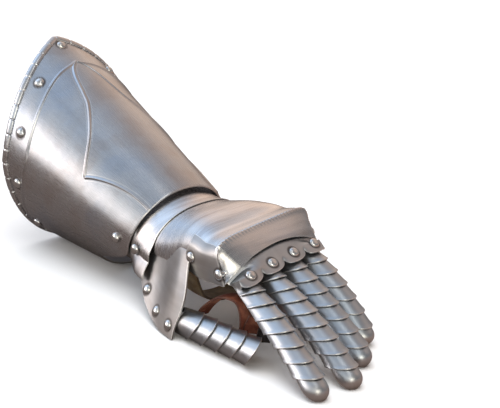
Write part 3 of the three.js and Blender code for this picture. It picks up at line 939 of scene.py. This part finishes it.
# %% Sections of the hand plate
HAND = {"rear": -3, "ridge": -91, "front": -103.7, "crown": (72.6, 77), "half": (39.6, 45.8)}
VALLEY = {"depth": 1.8, "at": 0.84, "width": 0.08}
SLOPE = 0.085
RIDGE_SLANT = 0.07
FRONT_SLANT = 0.095


def back_section(k, angle):
    k0 = max(0, k)
    half_width = lerp(*HAND["half"], k0**0.9)
    valley = VALLEY["depth"] * math.exp(-(((k - VALLEY["at"]) / VALLEY["width"]) ** 2))
    crown = lerp(*HAND["crown"], smooth(k, 0.25, 0.6)) - valley
    centre = lerp(40, 50, k)
    square = lerp(2, 6.5, k0**2.4)
    reach = (abs(math.sin(angle)) ** square + abs(math.cos(angle)) ** square) ** (-1 / square)
    x = half_width * reach * math.sin(angle)
    z = centre + (crown - centre) * reach * math.cos(angle)
    y = lerp(HAND["rear"], HAND["ridge"], k) + RIDGE_SLANT * k * x
    return Vector((x, y, z + SLOPE * k * x))


def front_y(x):
    return HAND["front"] + FRONT_SLANT * x


def front_edge(x):
    return 66.5 - 11 * (x / 44) ** 2 + SLOPE * x


def front_foot(angle):
    top = back_section(1, angle)
    x = top.x * 0.99
    skirt = (1 - abs(math.cos(angle)) ** 0.3) * 5
    return Vector((x, front_y(x), min(front_edge(x) - skirt, top.z)))


# %% [markdown]
# On the thumb side the front corner is cut off. A narrow facet runs down from the end of the
# fold to the knuckle pivot, and its lower edge slants from the front face back to the side.

# %% Lower edge with the cut corner
CORNER_TAPER = 9.5
CORNER_FROM = math.radians(46)
CORNER_LOW = Vector((-45.3, -105.0, 47.5))


def cut_foot(angle):
    if angle > -CORNER_FROM:
        foot = front_foot(angle)
        pulled = CORNER_TAPER * smooth(-foot.x, 8, 42)
        x = foot.x + pulled
        return Vector((x, front_y(x), min(front_edge(x), foot.z + pulled * 0.4)))
    share = (-angle - CORNER_FROM) / (math.pi / 2 - CORNER_FROM)
    return corner_start().lerp(CORNER_LOW, share)


def corner_start():
    """The last point of the front face before the cut corner."""
    return cut_foot(-CORNER_FROM + 1e-6)


# %% [markdown]
# The front edge of the wrist lame is hammered down until it hugs the hand plate, so the step
# between the two is thin. Towards its ends it keeps the plain shape of the hoop.

# %% Lay the wrist lame
WRIST_GAUGE = 0.75
WRIST_ROOM = 0.25


def wrist_surface(u, v):
    plain = wrist_arch(u, v)
    angle = math.radians(lerp(*HOOP_ARC, v))
    k = (HAND["rear"] - plain.y) / (HAND["rear"] - HAND["ridge"])
    hug = smooth(u, 0.25, 0.85) * (1 - smooth(abs(angle), math.radians(72), math.radians(92)))
    if hug <= 0 or k < 0:
        return plain
    snug = back_section(k, angle)
    outward = Vector((math.sin(angle), 0, math.cos(angle)))
    return plain.lerp(snug + outward * (WRIST_GAUGE + WRIST_ROOM), hug)


# Painted shadow under the cuff's edge, and painted shade that darkens the lame towards its bottom.
def wrist_painted_shade(points):
    shadow_under_cuff = 0.8 * np.clip((points[..., 1] - 1) / 8, 0, 1)
    shade_low_down = 0.7 * np.clip((46 - points[..., 2]) / 16, 0, 1)
    return np.maximum(shadow_under_cuff, shade_low_down)


wrist_bm = lay(wrist_surface, 60, 200, grime_and_shade_of=wrist_painted_shade, brushed_across=True)
sheet_metal("wrist_hoop", wrist_bm, WRIST_GAUGE, brushed_steel, "wrist", ("wrist_lame",))

# %% [markdown]
# The fold over the knuckles is roped: the armourer files slanting cuts across it, so that it
# looks like a twisted cord. The rows of points are closest together there, and the cord is a
# low swelling along the fold, cut at a slant. It fades out before the cut corner.

# %% Lay the hand plate
HAND_ARC = (-90, 94)
CORD = {"pitch": 3.0, "height": 0.9, "width": 1.9, "slant": 1.3, "low": 0.30, "fades": (58, 69)}


def hand_row(u):
    """Count 0 to 1 along the back, with close rows near the fold, and 1 to 2 down the front."""
    if u < 0.45:
        return 0.86 * u / 0.45
    if u < 0.85:
        return 0.86 + 0.14 * (u - 0.45) / 0.40
    return 1 + (u - 0.85) / 0.15


def hand_surface(row, v):
    angle = math.radians(lerp(*HAND_ARC, v))
    if row <= 1:
        return back_section(row, angle)
    return back_section(1, angle).lerp(cut_foot(angle), row - 1)


# %% Raise the roped fold
hand_bm = lay(hand_surface, 96, 230, u_of=hand_row, brushed_across=True)
hand_bm.normal_update()
fold = np.array([tuple(back_section(1, math.radians(a))) for a in np.linspace(*HAND_ARC, 400)])
hand_points = np.array([tuple((v.co - SHIFT) / MM) for v in hand_bm.verts])
fold_gap = gap_to_line(hand_points, fold)
for vert, (x, y, z), gap in zip(hand_bm.verts, hand_points, fold_gap):
    on_top = smooth(z, 64, 70)
    behind = y - (HAND["ridge"] + RIDGE_SLANT * x)
    twist = 0.5 + 0.5 * math.cos(math.tau * (x + CORD["slant"] * behind) / CORD["pitch"])
    cord = math.exp(-((gap / CORD["width"]) ** 2)) * CORD["height"]
    cord *= lerp(1, CORD["low"] + (1 - CORD["low"]) * twist, on_top)
    if x < 0:
        cord *= smooth(z, *CORD["fades"])
    vert.co += vert.normal * cord * MM

# %% [markdown]
# A facet only looks cut if the light breaks along its edge. The points on the corner's line are
# found again, and the edges between them are marked sharp, so the shading isn't blended there.

# %% Crease the corner and give the plate its gauge
CREASE_REACH = 0.06
corner_v = (math.pi / 2 - CORNER_FROM) / math.radians(HAND_ARC[1] - HAND_ARC[0])
corner_line = np.array([tuple(hand_surface(row, corner_v)) for row in np.linspace(1, 2, 60)])
on_corner = gap_to_line(hand_points, corner_line) < CREASE_REACH
creased = {vert for vert, flag in zip(hand_bm.verts, on_corner) if flag}
for bend in hand_bm.edges:
    if bend.verts[0] in creased and bend.verts[1] in creased:
        bend.smooth = False
print("edges along the corner:", sum(not bend.smooth for bend in hand_bm.edges))
hand_ob = sheet_metal("hand_back", hand_bm, STEEL, brushed_steel, "hand", ("hand_plate",))
print("hand plate faces:", len(hand_ob.data.polygons))

# %% [markdown]
# ## The thumb wall
# On the thumb side the plate runs down as a wall, hollow towards its front, to the root of the
# thumb. It is rougher than the back, its steel colour is darker than the back's as painted shade, and it has
# three rivets along its lower edge.

# %% Thumb wall
FOOT_REAR = ((-39.4, -4, 33), (-43.5, -14, 24), (-53, -30, 13))
FOOT_FRONT = ((-59, -46, 5), (-63, -60, 1.4), (-65.5, -76, 0.8))
WALL_RIVETS = (0.40, 0.65, 0.90)
WALL_RIVET_UP = 0.13
foot_line = curve_through(FOOT_REAR + FOOT_FRONT, 40)
foot_last = len(foot_line) - 1


def wall_foot(u):
    at = clamp(u) * foot_last
    i = min(int(at), foot_last - 1)
    return Vector(foot_line[i] * (1 - (at - i)) + foot_line[i + 1] * (at - i))


def wall_surface(u, v):
    top = back_section(lerp(0.02, 0.72, u), math.radians(-65)) + Vector((0.5, 0, 0))
    foot = wall_foot(u)
    down = 1 - v
    bow = -5 * max(0, u) ** 6 * math.sin(math.pi * down) ** 2
    flare = lerp(1.7, 0.75, smooth(u, 0.4, 0.9))
    return Vector(
        (
            lerp(top.x, foot.x, max(0, down) ** flare),
            lerp(top.y, foot.y, down) + bow,
            lerp(top.z, foot.z, down),
        )
    )


wall_seats = []
for u in WALL_RIVETS:
    wall_seats.append((wall_surface(u, WALL_RIVET_UP), normal_at(wall_surface, u, WALL_RIVET_UP)))
wall_rivet_grime_and_shade = grime_and_shade_round(wall_seats, 0.4)


# Grime and painted shade round the wall rivets, and painted shade that darkens the wall towards its bottom.
def wall_grime_and_shade(points):
    shade_low_down = 0.4 * np.clip((18 - points[..., 2]) / 18, 0, 1)
    return np.maximum(wall_rivet_grime_and_shade(points), shade_low_down)


wall_bm = lay(wall_surface, 96, 80, grime_and_shade_of=wall_grime_and_shade)
sheet_metal("thumb_wall", wall_bm, STEEL, shaded_wall_steel, "hand")

# %% [markdown]
# A cheek, cut with a round lobe, laps over the top of the wall. One rivet through the lobe
# holds the two together, and the knuckle pivot goes through its front end. Its upper edge is
# hammered down onto the plate and ends at the cut corner.

# %% Cheek
CHEEK_STAND = 1.5
CHEEK_FRONT_STAND = 0.9
CHEEK_GAUGE = 1.1
CHEEK_ARC = (-91, -47)


def cheek_surface(u, v):
    angle = math.radians(lerp(*CHEEK_ARC, v))
    towards_front = smooth(u, 0.55, 0.95)
    lobe = 0.755 - 0.088 * math.sqrt(max(0, 1 - ((v - 0.40) / 0.42) ** 2)) if v < 0.82 else 0.755
    k_rear = lerp(lobe, 0.675, smooth(v, 0.38, 1))
    ahead = lerp(11.4, 0.3, v) * smooth(u, 0.72, 1)
    point = back_section(lerp(k_rear, 1.0, min(1, u / 0.8)), angle) - Vector((0, ahead, 0))
    outward = Vector((-1, 0, 0.25)).normalized()
    sink = smooth(v, 0.72, 1) * lerp(1.3, 0.6, towards_front)
    hang = -2.2 * math.sin(math.pi * clamp((u - 0.05) / 0.95)) * (1 - v) ** 2
    stand = lerp(CHEEK_STAND, CHEEK_FRONT_STAND, towards_front)
    return point + outward * (stand - sink) + Vector((0, 0, hang))


cheek_point = back_section(0.735, math.radians(-71)) + Vector((-CHEEK_STAND, 0, 0.3))
cheek_seat = (cheek_point, Vector((-1, -0.05, 0.1)))
pivot_seat = (Vector((-47, -100.2, 52.7)), Vector((-1, 0, 0)))
cheek_bm = lay(cheek_surface, 60, 44, grime_and_shade_of=grime_and_shade_round([cheek_seat, pivot_seat], 0.3))
sheet_metal("cheek", cheek_bm, CHEEK_GAUGE, shaded_wall_steel, "hand")
rivets("hand_rivets", [cheek_seat, *wall_seats], "hand")

# %% [markdown]
# ## The knuckle plate
# A narrow plate lies under the folded front and swings with the fingers. Its front edge is cut
# in four round lobes, one for each finger, and a rivet in each lobe holds a row of lames. On
# the thumb side it is pushed in, so that it doesn't poke through the cut corner above it.

# %% Knuckle plate
KNUCKLE = {"half": 42.4, "unrolled": 47.8, "side": 50.5, "slant": 0.132}
LOBE_RIVETS = (-31.4, -9.2, 13.2, 35.6)
LOBE_HALF = 11.2
LAME_STEEL = 1.0
CORNER_ROOM = 2.2


def lobe_at(x):
    return max(math.sqrt(max(0, 1 - ((x - middle_x) / LOBE_HALF) ** 2)) for middle_x in LOBE_RIVETS)


def knuckle_row(row, x):
    """Give the plate's four cross lines: hidden edge, bend, rivet line and lobed edge."""
    edge = front_edge(x)
    rivet_line = 58.3 + SLOPE * x - 1.2 * (x / 33) ** 2
    ear = (x / KNUCKLE["half"]) ** 4
    if row == 0:
        return Vector((x, -94.4 + FRONT_SLANT * x + 3 * ear, edge + 0.6 + 5 * ear))
    if row == 1:
        return Vector((x, front_y(x), edge - 3.1 - 2 * (x / 43) ** 4))
    if row == 2:
        return Vector((x, -110 + KNUCKLE["slant"] * x, rivet_line))
    lobe = lobe_at(x)
    return Vector((x, -111 + KNUCKLE["slant"] * x - 6.5 * lobe, rivet_line - 0.5 - 4 * lobe))


# %% Push it in under the cut corner
def tucked(point, amount):
    """Push a point in until it is clear under the cut corner of the hand plate."""
    high = back_section(1, -CORNER_FROM)
    outward = (CORNER_LOW - high).cross(corner_start() - high).normalized()
    if outward.x > 0:
        outward = -outward
    proud = (point - high).dot(outward) + CORNER_ROOM
    return point - outward * max(0, proud) * amount


def knuckle_surface(u, v):
    reach = (2 * v - 1) * KNUCKLE["unrolled"]
    x = clamp(reach, -KNUCKLE["half"], KNUCKLE["half"])
    turned = max(0, abs(reach) - KNUCKLE["half"]) / (KNUCKLE["unrolled"] - KNUCKLE["half"])
    at = clamp(u) * 3
    row = min(2, int(at))
    toward_ear = (x / KNUCKLE["half"]) ** 4
    p = knuckle_row(row, x).lerp(knuckle_row(row + 1, x), at - row)
    if row == 0:
        p.z += 4.5 * toward_ear * math.sin(math.pi * at)
    gap = min(abs(x - rivet_x) for rivet_x in LOBE_RIVETS)
    p.z -= 1.6 * min(1, gap / 11) ** 2 * smooth(at, 2, 3) * (1 - turned)
    p.z = lerp(p.z, KNUCKLE["side"] + SLOPE * x, turned)
    if x < -15:
        p = tucked(p, 1 - smooth(at, 1.0, 1.7))
    return p


# %% Lay the knuckle plate and rivet its lobes
knuckle_seats = []
for x in LOBE_RIVETS:
    v = (x / KNUCKLE["unrolled"] + 1) / 2
    knuckle_seats.append((knuckle_surface(0.72, v), normal_at(knuckle_surface, 0.72, v)))
knuckle_bm = lay(knuckle_surface, 36, 250, grime_and_shade_of=grime_and_shade_round(knuckle_seats, 0.3))
bmesh.ops.smooth_vert(
    knuckle_bm,
    verts=knuckle_bm.verts,
    factor=0.35,
    use_axis_x=False,
    use_axis_y=True,
    use_axis_z=True,
)
sheet_metal("knuckle_bar", knuckle_bm, LAME_STEEL, lame_steel, "knuckles", ("knuckle_plate",))
rivets("knuckle_rivets", knuckle_seats, "knuckles")

# %% [markdown]
# ## Finger lames
# Each finger has a row of small half-round lames. Each lame's rear end goes under the one
# behind it, and its front edge bows forward over the finger and flares a little, which throws
# a dark line of shadow on the next lame. The last lame closes round the fingertip like a
# thimble.

# %% The four fingers
LAP = 5.5
BOW = 10
FINGER_RADIUS = (10.6, 9.9)
FINGERS = {
    "index": {"root": (-30.6, -107, 41.6), "splay": -9.5, "lames": 8, "pitch": 12.9, "droop": (14, 30.9)},
    "middle": {"root": (-9, -104, 44.6), "splay": -3.8, "lames": 9, "pitch": 11.8, "droop": (14, 33.5)},
    "ring": {"root": (13, -101, 46.8), "splay": 0.2, "lames": 8, "pitch": 11.5, "droop": (20, 37.6)},
    "little": {"root": (33.6, -99.5, 47.6), "splay": 4.5, "lames": 7, "pitch": 10.7, "droop": (24, 50)},
}


# %% Lame surfaces
FLARE = 0.3
TIP_ARC = (-95, 95)
TIP_STRAIGHT = 0.4


def arch(radius, angle, reach):
    return Vector((radius * math.sin(angle), -reach, radius * math.cos(angle)))


def lame_surface(length, rear, front, start, end, bow_at):
    def surface(u, v):
        angle = math.radians(lerp(start, end, v))
        flare = FLARE * smooth(u, 0.82, 1)
        reach = length * u - BOW * (1 - math.cos(angle - bow_at))
        return arch(lerp(rear, front, u) + flare, angle, reach)

    return surface


def tip_surface(length, rear, front):
    def surface(u, v):
        angle = math.radians(lerp(*TIP_ARC, v))
        k = max(0, (u - TIP_STRAIGHT) / (1 - TIP_STRAIGHT))
        closing = math.sqrt(max(0.004, 1 - k**2.6))
        reach = length * u - BOW * (1 - math.cos(angle)) * (1 - u)
        return arch(lerp(rear, front, u) * closing, angle, reach)

    return surface


# %% [markdown]
# A row is laid one lame at a time: each is turned down a little more than the one before it,
# and moved on by one pitch. The lames wrap further round the finger towards its middle. The
# index finger's wrap less on the thumb side, so that they clear the thumb and its strap.

# %% Lay the four rows of finger lames
LAME_ROOM = 0.8
LAME_EDGE = 0.22
INDEX_WRAP = 97
TIP_SHARE = 0.55


def in_frame(surface, root, turn_z, y, z, droop):
    place_it = Matrix.Translation(root) @ Matrix.Rotation(math.radians(turn_z), 4, "Z")
    place_it = place_it @ Matrix.Translation((0, y, z)) @ Matrix.Rotation(math.radians(droop), 4, "X")
    return lambda u, v: place_it @ surface(u, v)


def shade_under_lap(rows):
    """Paint shade on the rear of a lame, where the one behind it covers it."""

    def grime_and_shade_of(points):
        share = np.linspace(0, 1, points.shape[0])[:, None]
        return np.broadcast_to(0.75 * np.clip(1 - share / rows, 0, 1), points.shape[:2])

    return grime_and_shade_of


def lame(name, bm, body):
    sheet_metal(name + "_steel", bm, LAME_STEEL, lame_steel, body, (name,), round_off=LAME_EDGE)


stations = {}
for finger, size in FINGERS.items():
    y = z = 0.0
    stations[finger] = []
    for i in range(size["lames"]):
        share = i / (size["lames"] - 1)
        droop = lerp(*size["droop"], share)
        radius = lerp(*FINGER_RADIUS, share)
        rear = radius - LAME_STEEL - LAME_ROOM
        length = size["pitch"] + LAP
        if i == size["lames"] - 1:
            surface = tip_surface(length - 2, rear, radius)
        else:
            wrap = min(95 + 7 * i, lerp(122, 104, share))
            if finger == "index" and i > 1:
                wrap = INDEX_WRAP
            near = min(wrap, 70 + 9 * i) if finger == "index" else wrap
            surface = lame_surface(length, rear, radius, -near, wrap, 0)
        standing = in_frame(surface, size["root"], size["splay"], y, z, droop)
        bm = lay(standing, 20, 40, grime_and_shade_of=shade_under_lap(0.38))
        lame(f"{finger}_lame_{i + 1}", bm, "knuckles")
        stations[finger].append((y, z))
        y -= size["pitch"] * math.cos(math.radians(droop))
        z -= size["pitch"] * math.sin(math.radians(droop))
    last_y, last_z = stations[finger][-1]
    stations[finger].append((lerp(last_y, y, TIP_SHARE), lerp(last_z, z, TIP_SHARE)))
print("finger lames:", {name: size["lames"] for name, size in FINGERS.items()})

# %% [markdown]
# ## Thumb lames
# Five wider lames cover the thumb, which lies straight. They wrap further down on the outer
# side than on the palm side, and their bowed edges lean outwards.

# %% Lay the thumb lames
THUMB = {"root": (-51.5, -76, 10.3), "splay": 5, "lames": 5, "pitch": 13.2, "lap": 5, "radius": 10.6}
THUMB_ROOM = 0.64
THUMB_ARC = (-150, 82)
THUMB_BOW_AT = math.radians(-45)
thumb_rear = THUMB["radius"] - LAME_STEEL - THUMB_ROOM
thumb_surface = lame_surface(
    THUMB["pitch"] + THUMB["lap"], thumb_rear, THUMB["radius"], *THUMB_ARC, THUMB_BOW_AT
)
for i in range(THUMB["lames"]):
    standing = in_frame(thumb_surface, THUMB["root"], THUMB["splay"], -i * THUMB["pitch"], 0, 0)
    lame(f"thumb_lame_{i + 1}", lay(standing, 20, 48, grime_and_shade_of=shade_under_lap(0.3)), "hand")
print("thumb lames:", THUMB["lames"])

# %% [markdown]
# ## Leather strips and straps
# Under every row of lames runs a strip of soft leather. It is what holds the row together and
# lets the finger curl. Inside the hand a broad strap crosses the palm, and short loops hold the
# thumb. Real straps are cut from a flat hide, so each one here is a flat band bent along a
# curve, with its own thickness and rounded, burnished edges.

# %% Bend a band along a curve
LEATHER = 1.6
LEATHER_EDGE = 0.55


def along_curve(points, steps=24):
    line = [Vector(p) for p in curve_through(points, steps)]
    last = len(line) - 1

    def at(u):
        place_on = clamp(u) * last
        i = min(int(place_on), last - 1)
        return line[i].lerp(line[i + 1], place_on - i)

    return at


def direction_of(curve, u, step):
    return (curve(min(1, u + step)) - curve(max(0, u - step))).normalized()


def band_surface(points, across, width, crown=0.5):
    curve = along_curve(points)
    side = Vector(across).normalized()

    def surface(u, v):
        s = 2 * v - 1
        tangent = direction_of(curve, u, 0.004)
        lift = tangent.cross(side).normalized() * crown * (1 - s * s)
        return curve(u) + side * (s * width / 2) + lift

    return surface


def leather_band(name, bm, finish, body, node):
    made = object_of(name, bm, (finish,))
    thicken(made, LEATHER)
    round_edges(made, LEATHER_EDGE, 3)
    fitted(made, body, (node,))


# %% Straps: route, direction across, width and finish
ALONG_HAND = (0, 1, 0)
ACROSS_HAND = (1, 0, 0)
ASLANT = (0.8, -0.6, 0)
PALM_ROUTE = ((40, -55, 51), (38, -55, 33), (18, -55, 15.5), (-8, -55, 12), (-27, -55, 20), (-38.6, -55, 48))
LOOP_UP = ((-38.5, -75, 13), (-37.5, -82, 23), (-36, -94, 33), (-34.5, -105, 35.5))
LOOP_DOWN = ((-33.5, -112, 33), (-33.5, -116, 24), (-33.5, -116, 13))
THUMB_ROUTE = ((-32, -118, 13), (-32, -121, 21), (-32, -125, 28.5))
TIP_ROUTE = ((-33, -132, 12), (-33.5, -133.5, 18), (-34.5, -135.5, 23.5))
STRAPS = {
    "palm_strap": (PALM_ROUTE, ALONG_HAND, 19, tan_leather),
    "thumb_loop": (LOOP_UP + LOOP_DOWN, ACROSS_HAND, 12, brown_leather),
    "thumb_strap": (THUMB_ROUTE, ASLANT, 12, brown_leather),
    "thumb_tip_strap": (TIP_ROUTE, ASLANT, 10, black_leather),
}
for name, (route, across, width, finish) in STRAPS.items():
    leather_band(name + "_hide", lay(band_surface(route, across, width), 90, 12), finish, "hand", name)
print("straps:", list(STRAPS))


# %% Strips under the lames
STRIP_BELOW = 3.3
STRIP_ARC = (-45, 45)
THUMB_STRIP_MIDDLE = -35


def strip_surface(line, radius, middle_angle, root, turn_z):
    curve = along_curve([(0, y, z) for y, z in line])
    seat_it = Matrix.Translation(root) @ Matrix.Rotation(math.radians(turn_z), 4, "Z")

    def surface(u, v):
        tangent = direction_of(curve, u, 0.01)
        lift = Vector((0, tangent.z, -tangent.y))
        angle = math.radians(middle_angle + lerp(*STRIP_ARC, v))
        return seat_it @ (curve(u) + (lift * math.cos(angle) + Vector((math.sin(angle), 0, 0))) * radius)

    return surface


for finger, size in FINGERS.items():
    surface = strip_surface(stations[finger], FINGER_RADIUS[1] - STRIP_BELOW, 0, size["root"], size["splay"])
    leather_band(finger + "_strip", lay(surface, 80, 12), brown_leather, "knuckles", finger + "_leather")
thumb_end = (THUMB["lames"] - 0.2) * THUMB["pitch"]
thumb_line = [(2, 0), (-thumb_end / 2, 0), (-thumb_end, 0)]
surface = strip_surface(
    thumb_line, THUMB["radius"] - STRIP_BELOW, THUMB_STRIP_MIDDLE, THUMB["root"], THUMB["splay"]
)
leather_band("thumb_under_strip", lay(surface, 60, 12), brown_leather, "hand", "thumb_leather")
print("strips under the lames:", len(FINGERS) + 1)

# %% [markdown]
# ## Pivot rivets
# The cuff, the wrist lame, the hand plate and the knuckle plate turn on three pairs of rivets.
# Each goes right through both sheets, with a polished dome outside and a peened tail inside.
# The knuckle pair's axis leans with the plate, and its thumb-side head sits on the cheek.

# %% Pivots: where the head and the tail are, how far forward and up the axis leans, and the body
KNUCKLE_REACH = HAND["half"][1]
KNUCKLE_LEAN = Vector((0, FRONT_SLANT * KNUCKLE_REACH, SLOPE * KNUCKLE_REACH))
NO_LEAN = Vector((0, 0, 0))
PIVOTS = {
    "wrist": (46.4, 38.6, WRIST_PIVOT, NO_LEAN, "cuff"),
    "hand": (43.9, 34.2, HAND_PIVOT, NO_LEAN, "hand"),
    "knuckle": (46.2, 40.2, KNUCKLE_PIVOT, KNUCKLE_LEAN, "hand"),
}
OVER_CHEEK = {"knuckle_rivet_thumb_side": 0.7}


def through_profile(depth):
    tail = [(0, -depth), (2.3, -depth), (2.7, -depth + 0.4), (2.6, -depth + 1), (1.9, -depth + 1), (1.9, 0)]
    return tail + dome(RIVET_RADIUS, RIVET_HEIGHT, 0)[1:]


for joint, (head, tail, pivot, lean, body) in PIVOTS.items():
    for side, label in ((-1, "thumb"), (1, "little")):
        node = f"{joint}_rivet_{label}_side"
        reach = head + OVER_CHEEK.get(node, 0)
        seat = pivot + lean * side + Vector((side * reach, 0, 0))
        bm = bmesh.new()
        spin_profile(bm, seat, (side, 0, 0), through_profile(reach - tail))
        close_rivets(node + "_pin", bm, body, (node,))

# %% [markdown]
# ## Finish
# The colours are shown plainly: the Standard view, no look, and no change of exposure. The
# visual model has to stay the size of the imported one.

bpy.context.scene.view_settings.view_transform = "Standard"
bpy.context.scene.view_settings.look = "None"
bpy.context.scene.view_settings.exposure = 0.0
